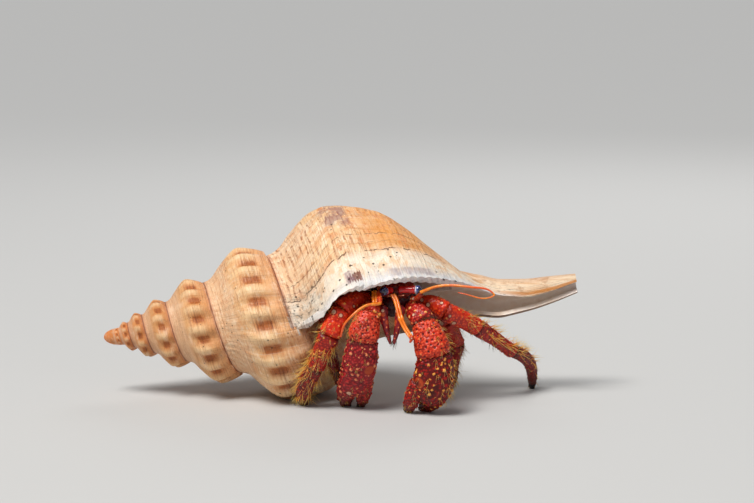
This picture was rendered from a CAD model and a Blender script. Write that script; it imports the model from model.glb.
import math

import bpy
import numpy as np
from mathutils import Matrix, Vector


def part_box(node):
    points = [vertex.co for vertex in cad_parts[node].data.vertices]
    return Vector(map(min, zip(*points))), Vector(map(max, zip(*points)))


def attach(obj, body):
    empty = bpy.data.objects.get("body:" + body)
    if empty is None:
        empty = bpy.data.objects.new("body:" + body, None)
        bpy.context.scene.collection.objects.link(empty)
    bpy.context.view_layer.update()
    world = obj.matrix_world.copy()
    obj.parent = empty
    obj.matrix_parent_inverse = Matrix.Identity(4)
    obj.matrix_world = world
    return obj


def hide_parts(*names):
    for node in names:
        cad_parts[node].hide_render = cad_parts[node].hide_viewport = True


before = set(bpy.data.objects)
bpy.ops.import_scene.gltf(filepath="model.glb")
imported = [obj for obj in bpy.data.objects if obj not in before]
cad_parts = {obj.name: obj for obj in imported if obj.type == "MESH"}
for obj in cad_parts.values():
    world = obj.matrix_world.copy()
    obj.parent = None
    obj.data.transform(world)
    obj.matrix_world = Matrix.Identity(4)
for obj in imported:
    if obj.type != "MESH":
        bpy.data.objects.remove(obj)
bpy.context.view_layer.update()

MM = 0.001

# ==================================================================== the camera
# It looks along +Y and 8 degrees down, from 800 mm, at a point just under the shell's top.
# Places are given in mm about the maker's own axes: +X to the crab's left, -Y ahead, the
# floor at z = 0. The left eye's middle says where those axes lie in the frame.
EYE_LEFT = (30.1, -34.8, 48.6)
CAMERA_TARGET = (14.4, 0.0, 58.5)
CAMERA_DISTANCE = 800.0
CAMERA_DOWN = math.radians(8.0)
CAMERA_LENS = 95.49
CAMERA_SENSOR = 36.0
CAMERA_NEAR = 0.01

eye_low, eye_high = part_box("eye_left")
HOME = np.array((eye_low + eye_high) / 2) - np.array(EYE_LEFT) * MM


def place(point):
    """A point in mm about the maker's axes, as metres in the frame."""
    return Vector(HOME + np.array(point) * MM)


camera_data = bpy.data.cameras.new("Camera")
camera_data.lens = CAMERA_LENS
camera_data.sensor_width = CAMERA_SENSOR
camera_data.clip_start = CAMERA_NEAR
camera = bpy.data.objects.new("Camera", camera_data)
backwards = Vector((0.0, -math.cos(CAMERA_DOWN), math.sin(CAMERA_DOWN)))
camera.location = place(CAMERA_TARGET) + backwards * CAMERA_DISTANCE * MM
camera.rotation_euler = (math.pi / 2 - CAMERA_DOWN, 0.0, 0.0)
bpy.context.scene.collection.objects.link(camera)
bpy.context.scene.camera = camera

# ==================================================================== the shell
# A right-handed spindle shell, five and a half turns under a blunt tip, laid down in thin
# layers at its lip.
# Blunt knobs ride on the shoulder of each turn, a hollow ramp runs above them to the
# suture, and the last turn draws out into a long canal that is open in front.
SHELL_LENGTH = 191.0
SHELL_RISE = math.radians(6.9)
SHELL_APEX = (-95.5, 0.0, 23.6)
SHOULDER_ALONG = 93.8
SHOULDER_RADIUS = 40.3
TOP_TURN = 7.0
FIRST_TURN = 1.75
LIP_TURN = 7.25
GROWTH_ALONG = 1.62
GROWTH_RADIUS = 1.53
LATE_GROWTH_RADIUS = 1.43
LATE_TURN = 6.0
SHELL_WALL = 1.7
STEPS_PER_TURN = 240
WHORL_ROWS = 34
BASE_ROWS = 28
CANAL_ROWS = 60
DOME_ROWS = 12

# One whorl from its suture to the next, and on down the last turn's base, as the distance
# along the axis and the radius, both in shares of the shoulder's.
SUTURE = (0.735, 0.615)
NEXT_SUTURE = (SUTURE[0] * GROWTH_ALONG, SUTURE[1] * GROWTH_RADIUS)
WHORL_OUTLINE = [SUTURE, (0.765, 0.632), (0.80, 0.678), (0.86, 0.828), (0.925, 0.955),
                 (1.0, 1.0), (1.09, 0.992), NEXT_SUTURE]
BODY_OUTLINE = [*WHORL_OUTLINE[:-2], (1.09, 0.975), (NEXT_SUTURE[0], 0.915), (1.24, 0.84),
                (1.29, 0.73), (1.335, 0.6), (1.385, 0.45), (1.46, 0.2), (1.56, 0.0)]
BASE_END = 1.46

# The column and canal, as distance along the axis, half width and sag, all in mm.
CANAL_OUTLINE = [(45, 0), (70, 6), (76, 9), (100, 14.4), (116, 12.8), (132, 12), (140, 11), (146, 9.6),
                 (150, 8.8), (154, 8.5), (161, 7.7), (171, 6.5), (181, 5.4), (SHELL_LENGTH, 3.9)]
CANAL_SAG = [(140, 0), (146, 0.2), (151, 1), (161, 3.3), (171, 3.2), (181, 2.2), (191, 0.9)]
COLUMN_BLEND = 3.0

# How far the lip is cut back from a full turn, in turns, by distance along the axis.
LIP_EDGE = [(72, 0.0), (79.5, -0.006), (84, -0.004), (87, 0.008), (90.5, 0.018),
            (93.5, 0.032), (96, 0.041), (98, 0.046), (103, 0.053), (106.5, 0.055),
            (110, 0.0535), (115.5, 0.0575), (122.5, 0.061), (136.5, 0.062), (157.5, 0.056),
            (166, 0.03), (171, 0.008), (181, 0.014), (191, 0.05)]
LIP_CUT_FROM = 6.75

# Knobs in one turn grow more numerous: nearly nine near the apex, then faster and faster.
FIRST_KNOBS = 8.8
KNOBS_AT = 4.206
KNOBS_THERE = 10.94
KNOBS_GROWTH = 2.12
KNOB_HEIGHT = [(0.5, 0.04), (2.0, 0.11), (5.0, 0.105), (6.0, 0.082), (6.6, 0.055), (7.0, 0.034),
               (7.15, 0.012), (7.25, 0.0)]
KNOB_MIDDLE = 1.005
KNOB_ABOVE = 0.055
KNOB_BELOW = 0.13
KNOB_SINK = 0.35
KNOB_BELT = 0.12
# Where it rests, the shell's underside is worn flat over about this height.
WORN_REST = 0.8


def smooth_between(low, high, value):
    share = np.clip((value - low) / (high - low), 0.0, 1.0)
    return share * share * (3.0 - 2.0 * share)


def through(stops, value):
    """A curve through [at, value] stops with no overshoot between them."""
    x, y = np.array(stops, float).T
    value = np.clip(value, x[0], x[-1])
    slope = np.diff(y) / np.diff(x)
    bend = np.zeros_like(y)
    bend[1:-1] = np.where(slope[:-1] * slope[1:] > 0, (slope[:-1] + slope[1:]) / 2, 0)
    bend[0], bend[-1] = slope[0], slope[-1]
    steepest = 3 * np.minimum(np.abs(np.append(slope, slope[-1])), np.abs(np.append(slope[0], slope)))
    bend = np.clip(bend, -steepest, steepest)
    k = np.clip(np.searchsorted(x, value, side="right") - 1, 0, len(x) - 2)
    width = x[k + 1] - x[k]
    t = (value - x[k]) / width
    return ((1 + 2 * t) * (1 - t) ** 2 * y[k] + t * (1 - t) ** 2 * width * bend[k]
            + t * t * (3 - 2 * t) * y[k + 1] - t * t * (1 - t) * width * bend[k + 1])


def shoulder_along(turn):
    return SHOULDER_ALONG * GROWTH_ALONG ** (turn - TOP_TURN)


def shoulder_radius(turn):
    late = LATE_GROWTH_RADIUS ** (np.maximum(turn, LATE_TURN) - TOP_TURN)
    return SHOULDER_RADIUS * late * GROWTH_RADIUS ** np.minimum(turn - LATE_TURN, 0.0)


def knob_phase(turn):
    """Counts knobs from the apex: whole numbers are crests and halves are hollows."""
    early = KNOBS_AT - (KNOBS_THERE - FIRST_KNOBS) / (2 * KNOBS_GROWTH)
    past = np.maximum(turn, early) - KNOBS_AT
    return 0.5 + KNOBS_THERE * past + KNOBS_GROWTH * past ** 2 - FIRST_KNOBS * np.maximum(early - turn, 0)


def knob_crest(turn, share):
    """1 on the crest of a knob, 0 between knobs and away from the shoulder."""
    round_it = 0.5 + 0.5 * np.cos(2 * math.pi * knob_phase(turn))
    away = share - KNOB_MIDDLE
    spread = np.where(away < 0, KNOB_ABOVE, KNOB_BELOW)
    return round_it * np.exp(-0.5 * (away / spread) ** 2)


# Scars as the growth turn where the lip rested, their depth in mm and width in turns.
GROWTH_SCARS = [(6.85, 0.2, 0.003), (6.95, 0.18, 0.003), (7.04, 0.2, 0.003), (7.09, 0.16, 0.003),
                (7.153, 0.36, 0.0034), (7.172, 0.2, 0.0026), (7.190, 0.52, 0.0046)]


def growth_relief(growth, share):
    """Low wavy ridges where the lip once rested, and the deep scars near today's lip."""
    waves = np.zeros_like(growth + share)
    chance = np.random.default_rng(5)
    for _ in range(14):
        pace = chance.uniform(14, 70)
        start = chance.uniform(0, 2 * math.pi)
        waves += np.sin(2 * math.pi * pace * growth + start + 3 * np.sin(2.2 * share * pace / 9))
    scars = np.zeros_like(growth + share)
    for where, deep, wide in GROWTH_SCARS:
        wander = 0.0035 * np.sin(31 * share + 40 * where) + 0.002 * np.sin(77 * share)
        scars += deep * np.exp(-(((growth + wander - where) / wide) ** 2))
    return 0.06 * waves * smooth_between(5.5, 7.0, growth) - scars


def body_radius(turn, along):
    share = along / shoulder_along(turn)
    body = shoulder_radius(turn) * through(BODY_OUTLINE, share)
    column = through(CANAL_OUTLINE, along)
    return (body ** COLUMN_BLEND + column ** COLUMN_BLEND) ** (1 / COLUMN_BLEND)


def outer_radius(turn, along, growth):
    share = along / shoulder_along(turn)
    knobs = through(KNOB_HEIGHT, turn) * (knob_crest(turn, share) - KNOB_SINK * np.exp(
        -0.5 * ((share - KNOB_MIDDLE) / KNOB_BELT) ** 2))
    fade = smooth_between(1.30, 1.18, share)
    return body_radius(turn, along) + (shoulder_radius(turn) * knobs
                                       + growth_relief(growth, share) * fade)


def shell_points(turn, along, radius):
    """Turn, distance along the axis and radius, as points about the maker's axes."""
    turn, along, radius = np.broadcast_arrays(turn, along, radius)
    angle = 2 * math.pi * turn
    up = radius * np.cos(angle) - through(CANAL_SAG, along)
    x = SHELL_APEX[0] + along * math.cos(SHELL_RISE) - up * math.sin(SHELL_RISE)
    z = SHELL_APEX[2] + along * math.sin(SHELL_RISE) + up * math.cos(SHELL_RISE)
    return np.stack([x, -radius * np.sin(angle), z], axis=-1)


def lip_cut(turn, along):
    teeth = 0.0014 * np.sin(2.0 * along) * smooth_between(LIP_TURN - 0.06, LIP_TURN, turn)
    return through(LIP_EDGE, along) * smooth_between(LIP_CUT_FROM, LIP_TURN, turn) + teeth


def make_piece(name, points, faces):
    """A mesh object from points in mm and faces as tuples of point numbers."""
    mesh = bpy.data.meshes.new(name)
    mesh.from_pydata((np.asarray(points) * MM + HOME).tolist(), [], faces)
    mesh.validate()
    mesh.polygons.foreach_set("use_smooth", np.ones(len(mesh.polygons), bool))
    piece = bpy.data.objects.new(name, mesh)
    bpy.context.scene.collection.objects.link(piece)
    return piece


def outside_of_shell():
    steps = round((LIP_TURN - FIRST_TURN) * STEPS_PER_TURN)
    last = steps - STEPS_PER_TURN
    deep = WHORL_ROWS + BASE_ROWS + CANAL_ROWS
    number = np.full((steps + 1, deep + 1), -1)
    number[:, :WHORL_ROWS] = np.arange((steps + 1) * WHORL_ROWS).reshape(-1, WHORL_ROWS)
    count = (steps + 1) * WHORL_ROWS
    number[:last + 1, WHORL_ROWS] = number[STEPS_PER_TURN:steps + 1, 0]
    number[last + 1:, WHORL_ROWS] = count + np.arange(STEPS_PER_TURN)
    count += STEPS_PER_TURN
    rest = (steps + 1 - last) * (deep - WHORL_ROWS)
    number[last:, WHORL_ROWS + 1:] = (count + np.arange(rest)).reshape(-1, deep - WHORL_ROWS)

    turn = FIRST_TURN + np.arange(steps + 1)[:, None] / STEPS_PER_TURN
    row = np.arange(deep + 1)[None, :]
    whorl = SUTURE[0] + (NEXT_SUTURE[0] - SUTURE[0]) * np.minimum(row / WHORL_ROWS, 1)
    base = (BASE_END - NEXT_SUTURE[0]) * np.clip((row - WHORL_ROWS) / BASE_ROWS, 0, 1)
    along = shoulder_along(turn) * (whorl + base)
    on_canal = np.clip((row - WHORL_ROWS - BASE_ROWS) / CANAL_ROWS, 0, 1)
    along = along + (SHELL_LENGTH - along) * on_canal
    radius = outer_radius(turn, along, turn)
    inner_rows = row < WHORL_ROWS
    sewn = shoulder_radius(turn) * SUTURE[1] + 0 * along
    radius = np.where((row == 0) & inner_rows, sewn, radius)
    points = shell_points(turn - lip_cut(turn, along), along, radius)

    chosen = np.zeros((number.max() + 1, 3))
    used = number >= 0
    own = used.copy()
    own[:last + 1, WHORL_ROWS] = False
    chosen[number[own]] = points[own]

    faces = []
    for s in range(steps):
        rows = WHORL_ROWS if s < last else deep
        here, after = number[s].tolist(), number[s + 1].tolist()
        faces += [(here[r], here[r + 1], after[r + 1], after[r]) for r in range(rows)]
    tip = len(chosen)
    end = tip + 1
    ends = shell_points(0.0, np.array([0.0, SHELL_LENGTH]), 0.0)
    rim = [(s, 0) for s in range(STEPS_PER_TURN + 1)] + [(0, r) for r in range(WHORL_ROWS - 1, 0, -1)]
    steps_round, rows_round = np.array(rim).T
    rise = np.linspace(0, math.pi / 2, DOME_ROWS + 1)[1:-1, None]
    dome = shell_points(turn[steps_round, 0], along[steps_round, rows_round] * (1 - np.cos(rise)),
                        radius[steps_round, rows_round] * np.sin(rise))
    rings = end + 1 + np.arange(dome.shape[0] * len(rim)).reshape(dome.shape[0], len(rim))
    rings = np.concatenate([rings, number[steps_round, rows_round][None]])
    after = np.roll(rings, -1, axis=1)
    faces += [(tip, a, b) for a, b in zip(rings[0], after[0])]
    faces += np.stack([rings[:-1], rings[1:], after[1:], after[:-1]], axis=-1).reshape(-1, 4).tolist()
    hub = number[last, WHORL_ROWS]
    faces += [(hub, number[steps, r], number[steps, r + 1]) for r in range(WHORL_ROWS)]
    for r in range(WHORL_ROWS, deep):
        faces.append((number[steps, r], number[steps, r + 1], number[last, r + 1], number[last, r]))
    faces += [(end, number[s + 1, deep], number[s, deep]) for s in range(last, steps)]
    faces.append((end, number[last, deep], number[steps, deep]))
    faces = [tuple(int(n) for n in face) for face in faces]
    faces = [tuple(dict.fromkeys(face)) for face in faces]
    return np.concatenate([chosen, ends, dome.reshape(-1, 3)]), [face for face in faces if len(face) > 2]


def skin(rings):
    """Faces over a row of closed rings with the same number of points, ends capped."""
    count, sides = rings.shape[:2]
    first = np.arange(count * sides).reshape(count, sides)
    after = np.roll(first, -1, axis=1)
    faces = np.stack([first[:-1], after[:-1], after[1:], first[1:]], axis=-1).reshape(-1, 4)
    return faces.tolist() + [first[0][::-1].tolist(), first[-1].tolist()]


def facing_out(points, faces):
    """The same faces, turned round if they enclose their body inside out."""
    fans = [(face[0], face[k], face[k + 1]) for face in faces for k in range(1, len(face) - 1)]
    corners = points[np.array(fans)]
    volume = np.einsum("ij,ij->i", corners[:, 0], np.cross(corners[:, 1], corners[:, 2])).sum()
    return [tuple(face[::-1] if volume < 0 else face) for face in faces]


# The mouth's hollow, from just outside the lip back under the roof: its turns, and its
# span along the axis in shares of the shoulder's.
MOUTH_TURNS = (7.36, 6.72)
MOUTH_SPAN = (0.785, 1.37)
MOUTH_SECTIONS = 64
MOUTH_STATIONS = 56
COLUMN_GLAZE = 0.35
MOUTH_END = 0.03
MOUTH_ROUNDING = 1.5

# The canal's gutter: its length, the degrees from the top at which it is open, from the
# lip to its lower side, and how far its floor is drawn in from a round bore.
GUTTER_SPAN = (126.0, SHELL_LENGTH + 4)
GUTTER_OPEN = (92.0, 141.0)
GUTTER_REACH = 9.0
GUTTER_SHALLOW = 0.72
GUTTER_SECTIONS = 70
GUTTER_WALL = 0.35
OPEN_SIDES = 8
BACK_SIDES = 40
BACK_GAP = 2


def mouth_hollow():
    turn = np.linspace(*MOUTH_TURNS, MOUTH_SECTIONS)[:, None]
    share = np.linspace(*MOUTH_SPAN, MOUTH_STATIONS)[None, :]
    along = share * shoulder_along(turn)
    ends = np.minimum((share - MOUTH_SPAN[0]) / MOUTH_END,
                      (MOUTH_SPAN[1] - share) / MOUTH_END).clip(0, 1)
    roof = body_radius(turn, along) - SHELL_WALL - MOUTH_ROUNDING * (1 - ends) ** 2
    column = body_radius(turn - 1, along) + COLUMN_GLAZE
    roof_points = shell_points(turn + 0 * along, along, roof)
    column_points = shell_points(turn + 0 * along, along, column)
    rings = np.concatenate([roof_points, column_points[:, ::-1]], axis=1)
    return rings.reshape(-1, 3), skin(rings)


def canal_gutter():
    along = np.linspace(*GUTTER_SPAN, GUTTER_SECTIONS)[:, None]
    half = through(CANAL_OUTLINE, along)
    wall = np.minimum(SHELL_WALL, GUTTER_WALL * half)
    lip = GUTTER_OPEN[0] - 360 * through(LIP_EDGE, along)
    opening = lip + (GUTTER_OPEN[1] - lip) * np.linspace(0, 1, OPEN_SIDES)
    round_back = np.linspace(0, 1, BACK_SIDES)
    behind = GUTTER_OPEN[1] + BACK_GAP + (lip + (360 - 2 * BACK_GAP) - GUTTER_OPEN[1]) * round_back
    degrees = np.concatenate([opening, behind], axis=1)
    shallow = 1 - GUTTER_SHALLOW * np.sin(math.pi * round_back) ** 2
    floor = (half - wall) * shallow[None, :]
    radius = np.concatenate([half + GUTTER_REACH + 0 * opening, floor], axis=1)
    rings = shell_points(degrees / 360 + 0 * along, along + 0 * degrees, radius)
    return rings.reshape(-1, 3), skin(rings)


def cut_away(piece, cutter):
    """Takes the cutter's body out of the piece and leaves the cutter's finish there."""
    step = piece.modifiers.new("Cut", "BOOLEAN")
    step.operation = "DIFFERENCE"
    step.object = cutter
    step.solver = "MANIFOLD"
    step.material_mode = "TRANSFER"
    bpy.context.view_layer.update()
    ready = bpy.context.evaluated_depsgraph_get()
    mesh = bpy.data.meshes.new_from_object(piece.evaluated_get(ready), depsgraph=ready)
    piece.modifiers.remove(step)
    piece.data = mesh
    bpy.data.objects.remove(cutter)


def shade_smooth(piece, crease=35.0):
    mesh = piece.data
    mesh.polygons.foreach_set("use_smooth", np.ones(len(mesh.polygons), bool))
    mesh.set_sharp_from_angle(angle=math.radians(crease))


def spiral_places(piece):
    """Each corner's growth turn and share of the shoulder's distance, and its face's turn.

    A corner's turn is the whole number of turns that puts it nearest the shell's outside.
    """
    mesh = piece.data
    flat = np.zeros(len(mesh.vertices) * 3)
    mesh.vertices.foreach_get("co", flat)
    spot = (flat.reshape(-1, 3) - HOME) / MM - np.array(SHELL_APEX)
    along = spot[:, 0] * math.cos(SHELL_RISE) + spot[:, 2] * math.sin(SHELL_RISE)
    up = spot[:, 2] * math.cos(SHELL_RISE) - spot[:, 0] * math.sin(SHELL_RISE)
    up = up + through(CANAL_SAG, along)
    part = (np.arctan2(-spot[:, 1], up) / (2 * math.pi)) % 1.0
    radius = np.hypot(spot[:, 1], up)

    corner_point = np.zeros(len(mesh.loops), int)
    mesh.loops.foreach_get("vertex_index", corner_point)
    first = np.zeros(len(mesh.polygons), int)
    size = np.zeros(len(mesh.polygons), int)
    mesh.polygons.foreach_get("loop_start", first)
    mesh.polygons.foreach_get("loop_total", size)
    owner = np.repeat(np.arange(len(first)), size)

    def middle(values):
        return np.bincount(owner, values[corner_point], len(first)) / size

    wave = middle(np.cos(2 * math.pi * part)), middle(np.sin(2 * math.pi * part))
    face_part = (np.arctan2(wave[1], wave[0]) / (2 * math.pi)) % 1.0
    face_along, face_radius = middle(along), middle(radius)
    best = np.full(len(first), 1e9)
    face_turn = np.zeros(len(first))
    for whole in range(math.floor(FIRST_TURN), math.ceil(LIP_TURN)):
        turn = whole + face_part
        share = face_along / shoulder_along(turn)
        lowest = np.where(turn > LIP_TURN - 1.02, 9.0, NEXT_SUTURE[0] + 0.01)
        fits = (share > SUTURE[0] - 0.01) & (share < lowest) & (turn < LIP_TURN + 0.02)
        miss = np.abs(body_radius(turn, face_along) - face_radius) + np.where(fits, 0, 1e6)
        face_turn = np.where(miss < best, turn, face_turn)
        best = np.minimum(miss, best)
    here = face_turn[owner]
    turn = here + (part[corner_point] - here + 0.5) % 1.0 - 0.5
    corner_along = along[corner_point]
    growth = turn + lip_cut(turn, corner_along)
    return growth, corner_along / shoulder_along(turn), corner_along, corner_point


def dress(piece, look, stands_for=None):
    """A piece's finish, its body and the node that it stands for."""
    piece.data.materials.append(look)
    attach(piece, "root")
    if stands_for:
        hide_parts(stands_for)
    return piece


def paint_value(piece, name, values, on="POINT"):
    """A named value at each point or corner of a mesh, for its finish to read."""
    layer = piece.data.attributes.new(name, "FLOAT", on)
    layer.data.foreach_set("value", np.asarray(values, np.float32))


def tone(red, green, blue):
    """A colour given in display values from 0 to 255."""
    def plain(value):
        value = value / 255
        return value / 12.92 if value <= 0.04045 else ((value + 0.055) / 1.055) ** 2.4
    return (plain(red), plain(green), plain(blue), 1.0)


def feed(tree, node, inputs):
    """Links each named input of a node to another's output, or sets its value."""
    for name, value in inputs.items():
        if isinstance(value, bpy.types.NodeSocket):
            tree.links.new(value, node.inputs[name])
        else:
            node.inputs[name].default_value = value


def put(tree, kind, inputs=None, **settings):
    """A node with its settings made and its inputs set or linked."""
    node = tree.nodes.new("ShaderNode" + kind)
    for name, value in settings.items():
        setattr(node, name, value)
    feed(tree, node, inputs or {})
    return node


def place_of(tree):
    """Where a point lies on the piece itself."""
    return put(tree, "TexCoord").outputs["Object"]


def mark_of(tree, name):
    """A value painted on the piece."""
    return put(tree, "Attribute", attribute_name=name).outputs["Fac"]


def sums(tree, operation, first, second=0.0, third=0.0, clamp=False):
    inputs = {0: first, 1: second}
    if operation in ("MULTIPLY_ADD", "COMPARE", "WRAP"):
        inputs[2] = third
    return put(tree, "Math", inputs, operation=operation, use_clamp=clamp).outputs[0]


def times(tree, first, *others):
    """All the values multiplied together, from left to right."""
    for other in others:
        first = sums(tree, "MULTIPLY", first, other)
    return first


def over(tree, share, below, above):
    """The colour below with the colour above laid over it by share."""
    return put(tree, "Mix", {0: share, 6: below, 7: above}, data_type="RGBA").outputs[2]


def step_up(tree, value, low, high):
    """0 below low, 1 above high and smooth between them; turned round if low is above high."""
    node = put(tree, "MapRange", {"Value": value, "From Min": low, "From Max": high},
               interpolation_type="SMOOTHSTEP")
    return node.outputs[0]


def within(tree, value, low, high, soft):
    return times(tree, step_up(tree, value, low - soft, low),
                step_up(tree, value, high + soft, high))


def tones(tree, value, stops):
    """A colour by value through [at, colour] stops."""
    node = put(tree, "ValToRGB", {0: value})
    while len(node.color_ramp.elements) < len(stops):
        node.color_ramp.elements.new(1.0)
    for element, (where, colour) in zip(node.color_ramp.elements, stops):
        element.position = where
        element.color = colour
    return node.outputs[0]


def grain(tree, place_socket, scale, detail=3.0, rough=0.55, **extra):
    inputs = {"Vector": place_socket, "Scale": scale, "Detail": detail, "Roughness": rough}
    inputs.update(extra)
    return put(tree, "TexNoise", inputs).outputs[0]


def cloudy(tree, scale, detail=3.0, rough=0.55, **extra):
    """A noise at places on the piece itself."""
    return grain(tree, place_of(tree), scale, detail, rough, **extra)


def new_finish(name):
    """A material with an empty Principled shader: its tree and that shader."""
    look = bpy.data.materials.get(name) or bpy.data.materials.new(name)
    look.use_nodes = True
    return look, look.node_tree, look.node_tree.nodes["Principled BSDF"]


def settle(tree, shader, inputs, height, strength, distance):
    """Feeds a finish's shader, with its relief as a bump."""
    bump = put(tree, "Bump", {"Height": height, "Strength": strength, "Distance": distance})
    feed(tree, shader, {**inputs, "Normal": bump.outputs[0]})


def spiral_place(tree, along_turn, across):
    """A place on the coil for a noise, stretched by its two paces."""
    place_node = put(tree, "UVMap", uv_map="Spiral")
    return put(tree, "VectorMath", {0: place_node.outputs[0], 1: (along_turn, across, 0)},
               operation="MULTIPLY").outputs[0]


def finish_shell_outside():
    look, tree, shader = new_finish("shell_outside")
    parts = put(tree, "SeparateXYZ", {0: put(tree, "UVMap", uv_map="Spiral").outputs[0]})
    turn, share = parts.outputs[0], parts.outputs[1]
    along = mark_of(tree, "along")
    knob = mark_of(tree, "knob")

    def spiral_grain(per_turn, per_share, detail=3.0, rough=0.6, **extra):
        return grain(tree, spiral_place(tree, per_turn, per_share), 1.0, detail, rough, **extra)

    def both(first, *others):
        return times(tree, first, *others)

    def up(value, low, high):
        return step_up(tree, value, low, high)

    def band(value, low, high, soft):
        return within(tree, value, low, high, soft)

    def lay(mask, strength, *shade):
        """Lays a tone over the colour so far, by a mask and a strength."""
        nonlocal colour
        colour = over(tree, both(mask, strength), colour, tone(*shade))

    # Whorl by whorl, from an orange tip to a cream last turn, in drifting clouds
    age = sums(tree, "DIVIDE", turn, 8.0)
    colour = tones(tree, age, [(0.2, tone(238, 142, 72)), (0.3, tone(226, 140, 74)),
                               (0.45, tone(218, 148, 84)), (0.6, tone(222, 162, 104)),
                               (0.75, tone(230, 178, 124)), (0.86, tone(236, 192, 142)),
                               (0.92, tone(240, 202, 156))])
    cloud = spiral_grain(11, 7, 4)
    second = spiral_grain(23, 13, 4, 0.65)
    lay(up(cloud, 0.5, 0.72), 0.6, 250, 220, 188)
    lay(up(second, 0.50, 0.72), 0.5, 216, 138, 76)
    ramp_zone = band(share, 0.74, 0.85, 0.06)
    lay(ramp_zone, 0.5, 240, 202, 166)
    woven = spiral_grain(52, 30, 2, 0.6)
    lay(both(up(woven, 0.54, 0.64), up(turn, 5, 7)), 0.5, 254, 234, 202)
    lay(both(up(woven, 0.45, 0.36), up(turn, 5, 7)), 0.42, 214, 132, 66)
    low_side = both(up(share, 1.04, 1.17), up(turn, 6.5, 6.2))
    lay(low_side, 0.3, 206, 128, 72)

    # Blotches in the hollows between knobs, and paler knobs
    early = up(turn, 7.0, 6.3)
    hollow = up(sums(tree, "SUBTRACT", 1.0, knob), 0.35, 1.0)
    wobble = sums(tree, "MULTIPLY_ADD", second, 0.10, sums(tree, "SUBTRACT", share, 0.085))
    belt = band(wobble, 0.97, 1.03, 0.06)
    blotch = both(hollow, belt, early)
    patchy = sums(tree, "MULTIPLY_ADD", spiral_grain(70, 22, 4, 0.7), 1.5, 0.05, clamp=True)
    blotch = both(blotch, patchy)
    blotch = sums(tree, "MULTIPLY", blotch, 1.25, clamp=True)
    lay(blotch, 0.95, 192, 104, 26)
    core = up(both(blotch, belt), 0.45, 0.8)
    lay(core, 0.4, 142, 70, 34)
    crest = both(band(share, 0.93, 1.06, 0.05), up(knob, 0.5, 1))
    lay(both(crest, early), 0.5, 252, 218, 168)

    # Cords that run with the coil, and fine hairlines between them
    drift = sums(tree, "MULTIPLY_ADD", spiral_grain(14, 9, 3), 0.05, share)
    cord = sums(tree, "SINE", both(drift, 2 * math.pi * 46))
    cord = both(up(cord, 0.2, 1.0), up(spiral_grain(20, 11, 3), 0.34, 0.6))
    hair = up(spiral_grain(7, 190, 3, 0.6), 0.52, 0.66)
    dashes = up(spiral_grain(55, 30, 3, 0.7), 0.44, 0.6)
    broken = both(cord, dashes)
    lay(broken, 0.42, 186, 104, 50)
    bold = both(broken, band(turn, 6.75, 7.17, 0.08))
    lay(bold, 0.75, 150, 78, 34)
    lay(hair, 0.46, 162, 92, 54)
    in_blotch = both(hair, blotch)
    lay(in_blotch, 0.85, 104, 48, 26)

    # Growth lines, which follow the lip, and the dark scars of long rests
    lines = spiral_grain(230, 4, 3, 0.65)
    late = up(turn, 5.2, 7.0)
    lay(both(up(lines, 0.56, 0.70), late), 0.5, 160, 98, 58)
    lay(both(up(lines, 0.44, 0.32), late), 0.4, 252, 230, 204)

    # The last half turn: an orange flank, a purple-grey patch by the shoulder
    flank = both(up(share, 1.0, 1.22), up(turn, 6.75, 7.0), up(turn, 7.215, 7.16),
                 up(cloud, 0.2, 0.5))
    lay(flank, 0.78, 228, 146, 48)
    rust = both(band(turn, 6.9, 7.17, 0.05), up(share, 0.9, 1.0),
                up(spiral_grain(38, 22, 4, 0.7), 0.5, 0.66))
    lay(rust, 0.6, 212, 118, 44)
    violet = both(band(share, 0.98, 1.06, 0.025), band(turn, 7.0, 7.11, 0.03),
                  up(spiral_grain(26, 12, 4, 0.7), 0.42, 0.58))
    lay(violet, 0.66, 146, 104, 104)

    # The canal: pinkish tan with faint lengthwise streaks, brown along its lower edge
    canal = up(along, 128, 150)
    streak = grain(tree, put(tree, "VectorMath", {0: place_of(tree), 1: (30, 500, 500)},
                             operation="MULTIPLY").outputs[0], 1.0, 3, 0.6)
    tan = over(tree, up(streak, 0.42, 0.68), tone(248, 228, 198), tone(222, 170, 120))
    colour = over(tree, both(canal, 0.85), colour, tan)
    smudge = both(canal, up(cloudy(tree, 160.0, 4, 0.65), 0.53, 0.66))
    lay(smudge, 0.6, 176, 112, 60)
    edge = both(up(along, 142, 156), band(turn, 7.215, 7.27, 0.015))
    lay(edge, 0.85, 208, 128, 44)
    below = both(band(turn, 6.37, 6.52, 0.03), up(along, 100, 125))
    lay(below, 0.85, 116, 74, 42)

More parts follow.
